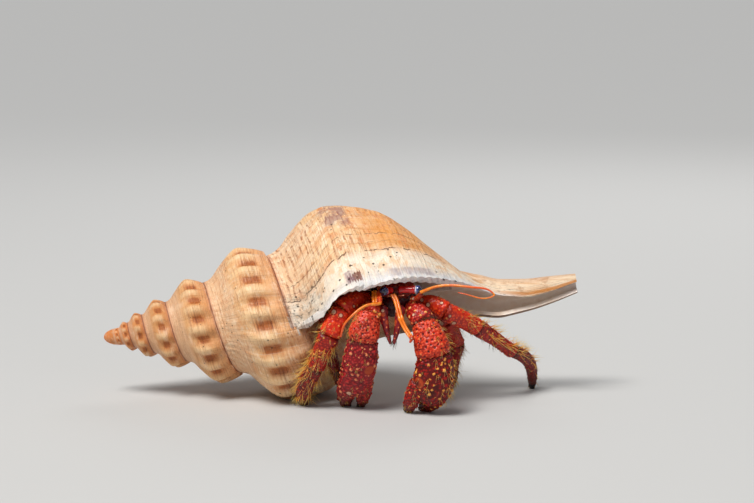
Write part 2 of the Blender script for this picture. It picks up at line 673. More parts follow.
    # The white zone of the lip, its grey-blue rim and one toothed brown stain
    upper = both(canal, band(turn, 6.98, 7.07, 0.05))
    lay(upper, 0.4, 206, 146, 96)
    edge_of_white = sums(tree, "MULTIPLY_ADD", spiral_grain(30, 16), 0.03, turn)
    white = up(edge_of_white, 7.198, 7.222)
    white = both(white, up(share, 1.66, 1.5))
    lay(white, 0.9, 250, 234, 212)
    warm = both(white, up(woven, 0.46, 0.6), up(turn, 7.25, 7.215))
    lay(warm, 0.62, 236, 184, 132)
    milk = both(white, up(turn, 7.228, 7.246), up(cloud, 0.3, 0.5))
    lay(milk, 0.75, 244, 242, 240)
    rim = up(sums(tree, "MULTIPLY_ADD", second, 0.02, turn), 7.228, 7.242)
    rim = both(rim, band(share, 1.06, 1.52, 0.06), up(spiral_grain(60, 60, 3), 0.36, 0.56))
    lay(rim, 0.3, 186, 194, 210)
    teeth = sums(tree, "MULTIPLY_ADD", sums(tree, "SINE", both(share, 640)), 0.0022,
                 sums(tree, "MULTIPLY_ADD", spiral_grain(120, 60, 3, 0.7), 0.02, turn))
    stain = both(band(share, 0.994, 1.044, 0.005), band(teeth, 7.239, 7.248, 0.003))
    lay(stain, 0.9, 126, 62, 38)
    smoke = both(band(share, 0.99, 1.05, 0.012), band(turn, 7.223, 7.238, 0.005))
    far_smoke = both(band(share, 1.17, 1.30, 0.03), band(turn, 7.231, 7.241, 0.004))
    smoke = sums(tree, "MULTIPLY_ADD", far_smoke, 0.6, smoke, clamp=True)
    smoke = both(smoke, up(second, 0.36, 0.56))
    lay(smoke, 0.72, 138, 106, 118)

    scars = None
    for where, deep, wide in GROWTH_SCARS:
        bent = sums(tree, "MULTIPLY_ADD", spiral_grain(6, 20, 4, 0.62), 0.020, where - 0.010)
        off = sums(tree, "ABSOLUTE", sums(tree, "SUBTRACT", turn, bent))
        line = both(up(off, 0.38 * wide, 0.08 * wide), 1.7 * deep)
        scars = line if scars is None else sums(tree, "MAXIMUM", scars, line)
    kept = up(spiral_grain(14, 26, 3), 0.40, 0.56)
    scars = both(scars, kept)
    lay(scars, 1.0, 96, 58, 40)

    # A dark hairline in each suture, as thick on small turns as on large ones
    turn_width = sums(tree, "DIVIDE", along, share)
    off_suture = sums(tree, "MINIMUM",
                      sums(tree, "ABSOLUTE", sums(tree, "SUBTRACT", share, SUTURE[0])),
                      sums(tree, "ABSOLUTE", sums(tree, "SUBTRACT", share, NEXT_SUTURE[0])))
    off_suture = both(off_suture, turn_width)
    on_spire = sums(tree, "MAXIMUM", up(turn, 6.27, 6.24), up(share, 0.95, 0.9))
    on_spire = both(on_spire, up(turn, 1.8, 3.0))
    suture = both(up(off_suture, 0.34, 0.08), on_spire)
    lay(suture, 0.8, 106, 56, 36)
    beside = both(up(off_suture, 1.6, 0.3), on_spire)
    lay(beside, 0.35, 196, 122, 92)

    # Small black pits, densest by the lip and at its rear corner
    cells = put(tree, "TexVoronoi", {"Vector": spiral_place(tree, 150, 56), "Scale": 1.0})
    split = put(tree, "SeparateColor", {0: cells.outputs["Color"]})
    reach = sums(tree, "MULTIPLY_ADD", split.outputs[1], 0.2, 0.14)
    dot = up(sums(tree, "DIVIDE", cells.outputs["Distance"], reach), 1.0, 0.55)
    many = sums(tree, "MULTIPLY_ADD", up(turn, 7.18, 7.21), 0.17, 0.04)
    corner = both(up(share, 0.93, 0.82), up(turn, 7.15, 7.21))
    many = sums(tree, "ADD", many, both(corner, 0.5))
    crowd = both(band(share, 1.04, 1.15, 0.03), band(turn, 7.2, 7.24, 0.01))
    many = sums(tree, "ADD", many, both(crowd, 0.3))
    pits = both(dot, sums(tree, "LESS_THAN", split.outputs[0], many))
    lay(corner, 0.3, 196, 184, 168)
    grime = both(corner, up(spiral_grain(110, 60, 4, 0.7), 0.5, 0.62))
    lay(grime, 0.7, 112, 98, 84)
    lay(pits, 0.88, 50, 40, 30)

    speck = cloudy(tree, 1000.0, 3, 0.6)
    lay(up(speck, 0.55, 0.75), 0.22, 150, 98, 62)
    height = both(cord, 0.4)
    for mask, rise in ((hair, -0.25), (lines, 0.9), (speck, 0.3), (pits, -1.4), (scars, -0.9),
                       (suture, -1.2)):
        height = sums(tree, "MULTIPLY_ADD", mask, rise, height)
    settle(tree, shader,
           {"Base Color": colour, "Roughness": sums(tree, "MULTIPLY_ADD", speck, 0.3, 0.34),
            "Subsurface Weight": 0.05, "Subsurface Radius": (0.002, 0.0012, 0.0008)}, height, 0.6,
           0.0006)
    return look


def finish_shell_glaze():
    look, tree, shader = new_finish("shell_glaze")
    along = mark_of(tree, "along")
    cloud = cloudy(tree, 120.0, 4, 0.6)
    colour = over(tree, step_up(tree, cloud, 0.35, 0.7), tone(236, 214, 192), tone(248, 238, 226))
    colour = over(tree, times(tree, step_up(tree, cloud, 0.56, 0.7), 0.4), colour,
                  tone(206, 150, 104))
    outer_end = step_up(tree, along, 172, 190)
    colour = over(tree, times(tree, outer_end, 0.4), colour, tone(196, 180, 176))
    settle(tree, shader, {"Base Color": colour, "Roughness": 0.28, "Coat Weight": 0.25},
           cloudy(tree, 500.0, 2, 0.5), 0.15, 0.0003)
    return look


points, faces = outside_of_shell()
points[:, 2] = 0.5 * (points[:, 2] + np.hypot(points[:, 2], WORN_REST))
shell = make_piece("shell_whole", points, facing_out(points, faces))
shell.data.materials.append(finish_shell_outside())
glaze = finish_shell_glaze()
for name, (points, faces) in (("mouth", mouth_hollow()), ("gutter", canal_gutter())):
    cutter = make_piece(name, points, facing_out(points, faces))
    cutter.data.materials.append(glaze)
    cut_away(shell, cutter)
growth, share, along, corner_point = spiral_places(shell)
spiral_map = shell.data.uv_layers.new(name="Spiral")
spiral_map.data.foreach_set("uv", np.stack([growth, share], axis=1).astype(np.float32).ravel())
paint_value(shell, "along", along, on="CORNER")
paint_value(shell, "knob", 0.5 + 0.5 * np.cos(2 * math.pi * knob_phase(growth)), on="CORNER")
shade_smooth(shell)
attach(shell, "root")
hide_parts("shell")

# ==================================================================== the walking legs
# Four stiff limy tubes end to end, hinged on soft dark skin: merus, carpus, propodus and
# dactyl, which ends in a black nail. Low warts, pale ringed spots and bristles cover them.
LEG_WIDTHS = (5.6, 7.4, 6.8, 5.2, 1.5)
STOUT_LEG_WIDTHS = (6.2, 8.2, 8.4, 6.8, 1.8)
LEG_FLATNESS = 0.86
LEG_SIDES = 72
LEG_RINGS = 96
END_CROWDING = 0.7
TUCKED_IN = 1.3
SPOT_RING_RISE = 0.22
BARE_RISE = 0.12
LEG_SEED = 11
LEG_PARTS = ("merus", "carpus", "propodus", "dactyl")
LEGS = {
    "leg2_left": {"joints": [(30, -23.5, 41), (41.2, -27, 38.6), (54.1, -18, 30.7),
                             (69, -5, 18.4), (78, 13, -0.4)],
                  "arch": (0, 0, 1.6), "bow": (3, 1.5, 2.6), "size": 1.0, "dark": 0.0},
    "leg2_right": {"joints": [(13.2, -24, 40.2), (0.6, -33, 40), (-4, -35, 30.5),
                              (-9.6, -29.5, 17), (-14.5, -17, -0.4)],
                   "arch": (0, 0.4, 3), "bow": (-1.6, -2.4, 0.6), "size": 1.0, "dark": 0.05},
    "leg3_left": {"joints": [(30, -17.6, 41.5), (42.5, -16.5, 32.4), (46.3, -11.5, 22.8),
                             (44.5, -4, 10.8), (40, 3, -0.4)],
                  "arch": (0, 0, 1.4), "bow": (1.6, -1, 0.4), "size": 0.86, "dark": 0.5},
    "leg3_right": {"joints": [(13, -17.4, 43), (-5, -25.6, 37.5), (-6, -27, 28.6),
                              (-1.6, -20, 14), (4, -9, -0.4)],
                   "arch": (0, 0.6, 2.2), "bow": (0, -1.4, -0.6), "size": 0.86, "dark": 0.75},
}
# Pale ringed spots, by where they are seen from ahead, with their size.
LEG_SPOTS = {
    "leg2_left_merus": [(31.9, 43.2, 1.0), (34.2, 41.6, 1.1), (34.0, 38.6, 1.2), (39.4, 42.4, 0.8)],
    "leg2_left_carpus": [(44.2, 34.2, 1.2), (42.6, 37.4, 0.8)],
    "leg2_right_merus": [(5.4, 42.0, 0.8), (1.6, 37.6, 1.2)],
    "leg2_right_carpus": [(-2.2, 40.2, 1.3), (0.6, 39.0, 1.0)],
    "leg3_left_merus": [(38.0, 36.2, 1.3), (39.6, 32.6, 1.4)],
}


def smooth_path(stops, shares):
    """Places at shares of the length of a smooth path through stops, with directions."""
    stops = np.array(stops, float)
    step = np.linalg.norm(np.diff(stops, axis=0), axis=1)
    knots = np.append(0.0, np.cumsum(step))
    slope = np.diff(stops, axis=0) / step[:, None]
    system = np.eye(len(stops))
    pull = np.zeros_like(stops)
    for k in range(1, len(stops) - 1):
        system[k, k - 1:k + 2] = step[k - 1] / 6, (step[k - 1] + step[k]) / 3, step[k] / 6
        pull[k] = slope[k] - slope[k - 1]
    bend = np.linalg.solve(system, pull)
    fine = np.linspace(0, knots[-1], 800)
    k = np.clip(np.searchsorted(knots, fine, side="right") - 1, 0, len(step) - 1)
    near = ((knots[k + 1] - fine) / step[k])[:, None]
    far = 1 - near
    sag = step[k][:, None] ** 2 / 6 * ((near ** 3 - near) * bend[k] + (far ** 3 - far) * bend[k + 1])
    line = near * stops[k] + far * stops[k + 1] + sag
    run = np.append(0.0, np.cumsum(np.linalg.norm(np.diff(line, axis=0), axis=1)))
    ways = np.gradient(line, run, axis=0)
    here = np.asarray(shares) * run[-1]
    spots, ahead = (np.stack([np.interp(here, run, values[:, i]) for i in range(3)], axis=-1)
                    for values in (line, ways))
    return spots, ahead / np.linalg.norm(ahead, axis=1)[:, None], run[-1]


def unit(vectors):
    return vectors / np.maximum(np.linalg.norm(vectors, axis=-1, keepdims=True), 1e-9)


def outward(grid):
    """The outward direction at each point of a tube, by ring and side."""
    around = np.roll(grid, -1, axis=1) - np.roll(grid, 1, axis=1)
    ahead = np.gradient(grid, axis=0)
    out = np.cross(around, ahead)
    out[0], out[-1] = out[1], out[-2]
    return unit(out)


def tube(stops, wide, deep, sides, rings, facing=(0, -1, 0), blunt=(0.6, 0.6), corners=2.0):
    """A closed tube along a path: its points by ring and side, and each ring's share."""
    even = np.linspace(0, 1, rings)
    share = even - END_CROWDING * np.sin(2 * math.pi * even) / (2 * math.pi)
    middle, ahead, length = smooth_path(stops, share)
    across = unit(np.cross(ahead, facing))
    front = unit(np.cross(across, ahead))
    half_wide = through(wide, share) / 2
    half_deep = through(deep, share) / 2
    near_start = np.clip(1 - share * length / (blunt[0] * half_deep[0] + 1e-6), 0, 1)
    near_end = np.clip(1 - (1 - share) * length / (blunt[1] * half_deep[-1] + 1e-6), 0, 1)
    dome = np.maximum(np.sqrt(1 - near_start ** 2) * np.sqrt(1 - near_end ** 2), 0.04)
    angle = 2 * math.pi * np.arange(sides) / sides
    flat = np.sign(np.cos(angle)) * np.abs(np.cos(angle)) ** (2 / corners)
    tall = np.sign(np.sin(angle)) * np.abs(np.sin(angle)) ** (2 / corners)
    grid = middle[:, None] + (across * (half_wide * dome)[:, None])[:, None] * flat[None, :, None]
    grid = grid - (front * (half_deep * dome)[:, None])[:, None] * tall[None, :, None]
    return grid, share


def scatter(chance, spots, apart, allowed=None, tries=2600):
    """Numbers of points picked by chance, none nearer to another than apart."""
    picked = np.zeros(0, int)
    for n in chance.integers(0, len(spots), tries):
        if allowed is not None and not allowed[n]:
            continue
        if len(picked) == 0 or ((spots[picked] - spots[n]) ** 2).sum(axis=1).min() > apart ** 2:
            picked = np.append(picked, n)
    return picked


def dab(spots, centre, reach):
    """1 at the centre, falling off in a round to 0 at reach."""
    return np.clip(1 - ((spots - centre) ** 2).sum(axis=-1) / reach ** 2, 0, 1)


def seen_from_ahead(spots, out, x, z):
    """The front point of a surface at x and z."""
    miss = np.hypot(spots[:, 0] - x, spots[:, 2] - z) + np.where(out[:, 1] > -0.15, 50.0, 0.0)
    return spots[np.argmin(miss)]


def crust(name, grid, share, seed, warts, pits=None, spots=(), bare=(), dark=0.0, fine=0.05):
    """A limb's piece with its relief raised, and the values that its finish reads.

    Warts are (apart, reach, height, palest) and pits (apart, reach, depth); bare gives
    smooth places as (x, z, reach).
    """
    chance = np.random.default_rng(seed)
    out = outward(grid).reshape(-1, 3)
    base = grid.reshape(-1, 3).copy()
    rise = np.zeros(len(base))
    wart_mark, wart_tint, pit_mark, spot_mark, bare_mark = np.zeros((5, len(base)))
    for x, z, reach in bare:
        bare_mark = np.maximum(bare_mark, dab(base, seen_from_ahead(base, out, x, z), reach))
    for apart, reach, height, palest in warts:
        for n in scatter(chance, base, apart, bare_mark < 0.05):
            size = chance.uniform(0.75, 1.25)
            mark = dab(base, base[n], reach * size)
            stronger = mark > wart_mark
            wart_tint[stronger] = palest * chance.uniform()
            wart_mark = np.maximum(wart_mark, mark)
            rise = np.maximum(rise, height * size * mark ** 0.8)
    if pits:
        apart, reach, depth = pits
        for n in scatter(chance, base, apart, bare_mark < 0.05):
            mark = dab(base, base[n], reach * chance.uniform(0.7, 1.2))
            pit_mark = np.maximum(pit_mark, mark)
        rise -= depth * pit_mark
    for x, z, reach in spots:
        mark = dab(base, seen_from_ahead(base, out, x, z), reach)
        spot_mark = np.maximum(spot_mark, mark)
    rise = np.where(spot_mark > 0.02, SPOT_RING_RISE * np.sin(math.pi * np.clip(spot_mark, 0, 1)), rise)
    rise += fine * chance.standard_normal(len(base)) * (1 - bare_mark)
    points = base + out * (rise + BARE_RISE * bare_mark)[:, None]
    points[:, 2] = np.maximum(points[:, 2], 0.0)
    piece = make_piece(name, points, skin(points.reshape(grid.shape)))
    run = np.repeat(share, grid.shape[1])
    for label, values in (("wart", wart_mark), ("tint", wart_tint), ("pit", pit_mark),
                          ("spot", spot_mark), ("bare", bare_mark), ("run", run),
                          ("dark", np.full(len(base), float(dark)))):
        paint_value(piece, label, values)
    return piece


def group_with(name, inputs, outputs):
    """A new shader node group with its named sockets, and its two end nodes."""
    group = bpy.data.node_groups.new(name, "ShaderNodeTree")
    for label, kind, value in inputs:
        socket = group.interface.new_socket(label, in_out="INPUT", socket_type=kind)
        socket.default_value = value
    for label, kind in outputs:
        group.interface.new_socket(label, in_out="OUTPUT", socket_type=kind)
    return group, group.nodes.new("NodeGroupInput"), group.nodes.new("NodeGroupOutput")


def build_crust_group():
    """Granular red crust: dark skin, warts with paler tops, pits, spots and joint skin."""
    colour, number = "NodeSocketColor", "NodeSocketFloat"
    tree, given, result = group_with("Crust", [
        ("Ground", colour, tone(170, 44, 26)), ("Deep", colour, tone(88, 14, 14)),
        ("Wart", colour, tone(232, 96, 60)), ("Pale Wart", colour, tone(244, 186, 120)),
        ("Pale Share", number, 0.3), ("Pit Depth", number, 1.0),
    ], [("Color", colour), ("Roughness", number), ("Height", number)])
    value = given.outputs
    mark = {label: mark_of(tree, label)
            for label in ("wart", "tint", "pit", "spot", "bare", "run", "dark")}
    cloud = cloudy(tree, 260.0, 3, 0.6)
    speck = cloudy(tree, 1500.0, 2, 0.6)
    lit = sums(tree, "MULTIPLY_ADD", step_up(tree, cloud, 0.34, 0.6), 0.7, 0.3)
    base = over(tree, lit, value["Deep"], value["Ground"])
    base = over(tree, times(tree, step_up(tree, speck, 0.5, 0.75), 0.5), base,
                value["Wart"])
    pale = step_up(tree, mark["tint"], sums(tree, "SUBTRACT", 1.02, value["Pale Share"]),
                   sums(tree, "SUBTRACT", 1.06, value["Pale Share"]))
    top = over(tree, pale, value["Wart"], value["Pale Wart"])
    base = over(tree, step_up(tree, mark["wart"], 0.12, 0.62), base, top)
    base = over(tree, times(tree, step_up(tree, mark["pit"], 0.2, 0.8),
                           value["Pit Depth"]), base, value["Deep"])
    bare = times(tree, step_up(tree, mark["bare"], 0.05, 0.5),
                step_up(tree, cloud, 0.25, 0.5))
    base = over(tree, bare, base, tone(182, 66, 24))
    ring = within(tree, mark["spot"], 0.12, 0.4, 0.1)
    base = over(tree, ring, base, tone(132, 34, 18))
    base = over(tree, step_up(tree, mark["spot"], 0.46, 0.7), base, tone(218, 178, 146))
    shade = sums(tree, "MULTIPLY", mark["dark"], 0.75, clamp=True)
    base = over(tree, shade, base, tone(64, 10, 14))
    tree.links.new(base, result.inputs["Color"])
    rough = sums(tree, "MULTIPLY_ADD", speck, 0.3, 0.28)
    tree.links.new(rough, result.inputs["Roughness"])
    height = sums(tree, "MULTIPLY_ADD", speck, 0.35, times(tree, cloud, 0.5))
    tree.links.new(height, result.inputs["Height"])
    return tree


def finish_crust(name, values, coat=0.25, nail=None):
    """Crust in one limb's colours; nail says where along it the black tip begins."""
    look, tree, shader = new_finish(name)
    coarse = put(tree, "Group", node_tree=CRUST)
    for label, given in values.items():
        coarse.inputs[label].default_value = given
    colour = coarse.outputs["Color"]
    run = mark_of(tree, "run")
    joint = step_up(tree, run, 0.1, 0.05)
    colour = over(tree, times(tree, joint, 0.6), colour, tone(58, 12, 14))
    if nail:
        colour = over(tree, step_up(tree, run, nail - 0.3, nail), colour, tone(92, 34, 22))
        colour = over(tree, step_up(tree, run, nail, nail + 0.05), colour, tone(26, 18, 18))
    settle(tree, shader, {"Base Color": colour, "Roughness": coarse.outputs["Roughness"],
                          "Specular IOR Level": 0.25, "Coat Weight": coat,
                          "Coat Roughness": 0.2}, coarse.outputs["Height"], 0.5, 0.0003)
    return look


def crust_tones(ground, deep, wart, pale, pale_share):
    """A crust's colours, and how many of its warts are pale."""
    return {"Ground": tone(*ground), "Deep": tone(*deep), "Wart": tone(*wart),
            "Pale Wart": tone(*pale), "Pale Share": pale_share}


CRUST = build_crust_group()
LEG_COLOURS = {
    "merus": crust_tones((216, 40, 10), (140, 12, 6), (232, 74, 24), (248, 160, 74), 0.36),
    "carpus": crust_tones((218, 42, 12), (150, 14, 8), (232, 72, 26), (248, 168, 84), 0.4),
    "propodus": crust_tones((160, 20, 8), (92, 6, 6), (196, 44, 18), (246, 168, 76), 0.45),
    "dactyl": crust_tones((112, 14, 8), (60, 4, 6), (160, 36, 18), (232, 150, 70), 0.45),
}
LEG_WARTS = {"merus": [(2.4, 0.6, 0.18, 1), (1.1, 0.5, 0.12, 0.5)],
             "carpus": [(2.2, 0.6, 0.2, 1), (1.1, 0.5, 0.14, 0.5)],
             "propodus": [(2.0, 0.55, 0.24, 1), (1.0, 0.5, 0.16, 0.5)],
             "dactyl": [(1.9, 0.5, 0.2, 1), (1.0, 0.5, 0.16, 0.5)]}
LEG_LOOKS = {part: finish_crust("crust_leg_" + part, LEG_COLOURS[part],
                                nail=0.86 if part == "dactyl" else None)
             for part in LEG_PARTS}
limb_skins = {}


def leg_outline(first, last, part):
    """A segment's width from its tucked-in base, over its swelling, to its rim."""
    if part == "dactyl":
        return [(0, 0.86 * first), (0.08, 0.98 * first), (0.3, 0.98 * first),
                (0.6, 0.88 * first), (0.85, 0.66 * first), (0.95, 0.46 * first), (1, last)]
    return [(0, 0.86 * first), (0.09, 0.97 * first), (0.3, 0.5 * (first + last)),
            (0.75, last), (0.9, 1.03 * last), (0.97, last), (1, 0.88 * last)]


def longer(start, stop, before, after):
    """A segment's two ends pushed out along it, so that it tucks into its neighbours."""
    way = unit(np.array(stop, float) - start)
    return np.array(start) - way * before, np.array(stop) + way * after


for name, leg in LEGS.items():
    for k, part in enumerate(LEG_PARTS):
        start, stop = (np.array(joint, float) for joint in leg["joints"][k:k + 2])
        bend = {"merus": leg["arch"], "dactyl": leg["bow"]}.get(part, (0, 0, 0.3))
        middle = (start + stop) / 2 + np.array(bend)
        last_part = part == "dactyl"
        start, stop = longer(start, stop, TUCKED_IN if k else 0.0, 0.0 if last_part else 0.3)
        widths = STOUT_LEG_WIDTHS if name == "leg2_right" else LEG_WIDTHS
        first, last = (widths[n] * leg["size"] for n in (k, k + 1))
        wide = leg_outline(first, last, part)
        deep = [(at, width * LEG_FLATNESS) for at, width in wide]
        grid, share = tube([start, middle, stop], wide, deep, LEG_SIDES, LEG_RINGS,
                           blunt=(0.5, 0.6), corners=2.2)
        title = name + "_" + part
        piece = crust(title + "_shell", grid, share, len(limb_skins) + LEG_SEED, LEG_WARTS[part],
                      spots=LEG_SPOTS.get(title, ()), dark=leg["dark"])
        dress(piece, LEG_LOOKS[part], title)
        limb_skins[title] = (grid, share)

# ==================================================================== the claws
# The first legs, stouter, each ending in a hand and a moving finger. Blunt tubercles crowd
# the hand, the carpus is pitted between its granules, and the finger tips are dark horn.
CLAW_SEED = 31
CARPUS_PITS = (1.75, 0.6, 0.5)
CLAW_SIDES = 128
CLAW_RINGS = 120
CLAW_DEPTHS = {"merus": 0.9, "carpus": 0.88, "palm": 0.72, "finger": 0.9}
CLAWS = {
    "claw_left": {
        "merus": ([(26.8, -28.6, 41.2), (30, -33.8, 39.2), (32.8, -37.7, 35.5)],
                  [(0, 5), (0.25, 6.6), (0.55, 8.2), (0.9, 9.4), (1, 8.2)]),
        "carpus": ([(32.0, -36.9, 37.0), (34.7, -39.9, 29.6), (36.6, -41.2, 22.4)],
                   [(0, 8.6), (0.15, 9.8), (0.35, 11.4), (0.62, 13), (0.86, 13.4), (1, 12)]),
        "palm": ([(36.7, -41.0, 26.2), (36.3, -39.4, 15.6), (35.8, -37, 9.4), (35.6, -34.4, 5.6),
                  (33.8, -31, 2.4), (31.6, -28, -0.4)],
                 [(0, 11), (0.1, 13.2), (0.2, 14.4), (0.38, 15.2), (0.54, 14.2), (0.65, 11),
                  (0.76, 7.2), (0.89, 5), (1, 2.2)]),
        "finger": ([(30.6, -38.6, 14.2), (29.3, -37.8, 10.2), (27.7, -35.4, 5.2), (26.2, -31, -0.4)],
                   [(0, 5), (0.15, 6.6), (0.45, 6.2), (0.75, 4.6), (1, 1.8)]),
        "bare": [(30.2, 13.8, 2.6)], "spots": [],
        "merus_spots": [(28.4, 39.4, 0.8), (29.4, 36.6, 0.7), (30.6, 35.4, 0.9), (27.2, 36.4, 0.9),
                        (27.3, 35.2, 0.8)],
    },
    "claw_right": {
        "merus": ([(15.6, -28.6, 39.4), (13.6, -32.6, 39.9), (11.6, -36.6, 38.6)],
                  [(0, 5.2), (0.2, 7), (0.6, 8.6), (0.9, 9.8), (1, 8)]),
        "carpus": ([(11.8, -35.9, 40.2), (9.9, -38, 34.2), (8.5, -38.7, 28.2)],
                   [(0, 7), (0.15, 8.8), (0.4, 10.6), (0.75, 11.8), (0.9, 12), (1, 10.8)]),
        "palm": ([(9.1, -38.5, 31.6), (8, -35.4, 21), (6.4, -31.6, 14.6), (3.8, -28.6, 9.6),
                  (2.2, -25.2, 5.6), (2.4, -20, -0.4)],
                 [(0, 9.6), (0.1, 11.4), (0.2, 12.4), (0.34, 13), (0.52, 12), (0.63, 9.8), (0.74, 7.4),
                  (0.89, 5), (1, 2.2)]),
        "finger": ([(9.6, -32.6, 17), (9.5, -30, 12), (9.2, -26.4, 6.4), (7.6, -21, -0.4)],
                   [(0, 5), (0.15, 6.8), (0.45, 6.2), (0.75, 4.6), (1, 1.8)]),
        "bare": [(11.6, 17.8, 2.4)], "spots": [(3.6, 7.4, 1.5)],
        "merus_spots": [(8.6, 40.8, 0.9), (12.2, 40.2, 0.8)],
    },
}
CLAW_COLOURS = {
    "claw_left": {
        "merus": ((158, 20, 14), (88, 6, 8), (200, 52, 34), (246, 172, 92)),
        "carpus": ((206, 44, 18), (84, 4, 4), (224, 76, 40), (240, 124, 66)),
        "palm": ((104, 8, 4), (54, 2, 3), (158, 20, 10), (246, 166, 70)),
        "finger": ((120, 12, 8), (62, 3, 5), (170, 28, 16), (238, 136, 62)),
    },
    "claw_right": {
        "merus": ((186, 30, 12), (100, 8, 6), (220, 66, 24), (246, 166, 80)),
        "carpus": ((206, 46, 24), (100, 6, 8), (226, 80, 48), (244, 150, 84)),
        "palm": ((142, 16, 24), (84, 6, 20), (192, 44, 44), (240, 146, 96)),
        "finger": ((144, 18, 14), (80, 5, 8), (190, 40, 28), (240, 136, 84)),
    },
}
CLAW_WARTS = {"merus": [(1.9, 0.75, 0.35, 1), (1.0, 0.5, 0.18, 0.5)],
              "carpus": [(2.3, 0.6, 0.3, 1), (0.85, 0.5, 0.24, 0.5)],
              "palm": [(2.0, 0.7, 0.6, 1), (0.95, 0.5, 0.28, 0.5)],
              "finger": [(1.9, 0.65, 0.45, 1), (0.9, 0.45, 0.2, 0.5)]}


def claw_look(name, part):
    palm = part == "palm"
    values = crust_tones(*CLAW_COLOURS[name][part], 0.6 if palm else 0.45)
    return finish_crust("crust_" + name + "_" + part, values, coat=0.12 if palm else 0.25,
                        nail={"palm": 0.93, "finger": 0.86}.get(part))


for name, claw in CLAWS.items():
    for part in ("merus", "carpus", "palm", "finger"):
        stops, wide = claw[part]
        deep = [(at, width * CLAW_DEPTHS[part]) for at, width in wide]
        grid, share = tube(stops, wide, deep, CLAW_SIDES, CLAW_RINGS, blunt=(0.55, 0.8),
                           corners=2.2)
        title = name + "_" + part
        piece = crust(title + "_shell", grid, share, len(limb_skins) + CLAW_SEED, CLAW_WARTS[part],
                      pits=CARPUS_PITS if part == "carpus" else None,
                      spots={"merus": claw["merus_spots"], "palm": claw["spots"]}.get(part, ()),
                      bare=claw["bare"] if part == "palm" else ())
        dress(piece, claw_look(name, part), title)
        limb_skins[title] = (grid, share)

# ==================================================================== the body and head
# The carapace is hard in front and holds the eyes and feelers. Under it lie the breast and
# the dark mouth. Behind it the soft naked abdomen is coiled back into the shell.
MIDLINE = 21.3


def ellipse_tube(stops, wide, tall, sides, rings, **shape):
    return tube(stops, wide, tall, sides, rings, facing=(0, 0, 1), **shape)


chest_grid, chest_share = ellipse_tube(
    [(MIDLINE, -32.6, 46.4), (MIDLINE, -24, 48.8), (MIDLINE - 0.4, -12.6, 54.4)],
    [(0, 9.5), (0.1, 11.5), (0.35, 14.4), (0.5, 14.9), (0.85, 15.6), (1, 14)],
    [(0, 5), (0.1, 6.6), (0.35, 8.6), (0.85, 9.6), (1, 8)], 120, 110, blunt=(0.9, 0.5))
groove = np.exp(-0.5 * ((chest_share - 0.42) / 0.02) ** 2)
chest_grid = chest_grid - 0.45 * outward(chest_grid) * groove[:, None, None]
chest = crust("carapace", chest_grid, chest_share, 71, [(1.8, 0.8, 0.25, 1), (1.0, 0.5, 0.12, 0.5)],
              spots=[(25.0, 47.2, 0.7), (17.4, 47.0, 0.6)], dark=0.35)
CHEST_TONES = crust_tones((172, 34, 26), (96, 14, 16), (222, 84, 50), (240, 168, 104), 0.25)
dress(chest, finish_crust("crust_carapace", CHEST_TONES), "cephalothorax")

breast_grid, breast_share = ellipse_tube(
    [(MIDLINE - 1.2, -33.4, 40.6), (MIDLINE - 0.8, -27, 42.4), (MIDLINE - 0.2, -15, 47.4)],
    [(0, 6), (0.15, 10), (0.4, 15), (0.8, 17), (1, 13)],
    [(0, 8.4), (0.2, 9), (0.8, 7), (1, 5)], 80, 70, blunt=(0.9, 0.6))
breast_grid = breast_grid + 0.35 * outward(breast_grid) * np.sin(34 * breast_share)[:, None, None]
breast = crust("breast_and_mouth", breast_grid, breast_share, 72, [(1.5, 0.7, 0.2, 1)], dark=1.0)
BREAST_TONES = crust_tones((84, 18, 22), (34, 8, 14), (128, 34, 34), (170, 96, 80), 0.1)
dress(breast, finish_crust("crust_mouth", BREAST_TONES, coat=0.5))


def finish_soft_skin(name):
    """Thin wrinkled skin with orange and purple veins under it."""
    look, tree, shader = new_finish(name)
    cloud = cloudy(tree, 170.0, 4, 0.6)
    vein = cloudy(tree, 420.0, 3, 0.6, Distortion=1.5)
    colour = over(tree, step_up(tree, cloud, 0.35, 0.68), tone(206, 122, 92), tone(176, 70, 58))
    colour = over(tree, times(tree, within(tree, vein, 0.48, 0.52, 0.03), 0.6), colour,
                  tone(120, 40, 56))
    settle(tree, shader, {"Base Color": colour, "Roughness": 0.42, "Subsurface Weight": 0.12,
                          "Subsurface Radius": (0.002, 0.0008, 0.0005)}, vein, 0.4, 0.0004)
    return look


COIL_WIDTH = [(0, 11), (0.15, 13.4), (0.5, 13.6), (0.8, 10.4), (1, 7)]
COIL_SIDES = 96
coil_grid, coil_share = ellipse_tube(
    [(20.4, -11.9, 55.4), (16, 0, 59.4), (9, 10, 58), (2, 17.3, 50.2)],
    COIL_WIDTH, COIL_WIDTH, COIL_SIDES, 140)
folds = np.sin(46 * coil_share)[:, None] * 0.22
around = 2 * math.pi * np.arange(COIL_SIDES) / COIL_SIDES
folds = folds + 0.16 * np.sin(3 * around[None, :] + 30 * coil_share[:, None])
coil_grid = coil_grid + outward(coil_grid) * (folds - 0.3)[..., None]
abdomen = make_piece("abdomen_skin", coil_grid.reshape(-1, 3), skin(coil_grid))
dress(abdomen, finish_soft_skin("abdomen_skin"), "abdomen")

# ==================================================================== the eyes
# Round black-blue corneas in a pale rim, on glossy red stalks that turn in sockets beside
# each other, with a toothed scale in front of each stalk's root.
EYES = {
    "left": ((22.4, -33.7, 48.3), (30.1, -34.8, 48.6)),
    "right": ((20.1, -33.4, 48.1), (17.1, -36.6, 48.3)),
}
CORNEA = 1.72
EYE_SCALES = {
    "left": [(22.8, -33.6, 46.2), (23.8, -34.9, 46.4), (24.9, -35.6, 46.6)],
    "right": [(20.2, -33.6, 46.1), (19.4, -34.9, 46.2), (18.5, -35.6, 46.3)],
}


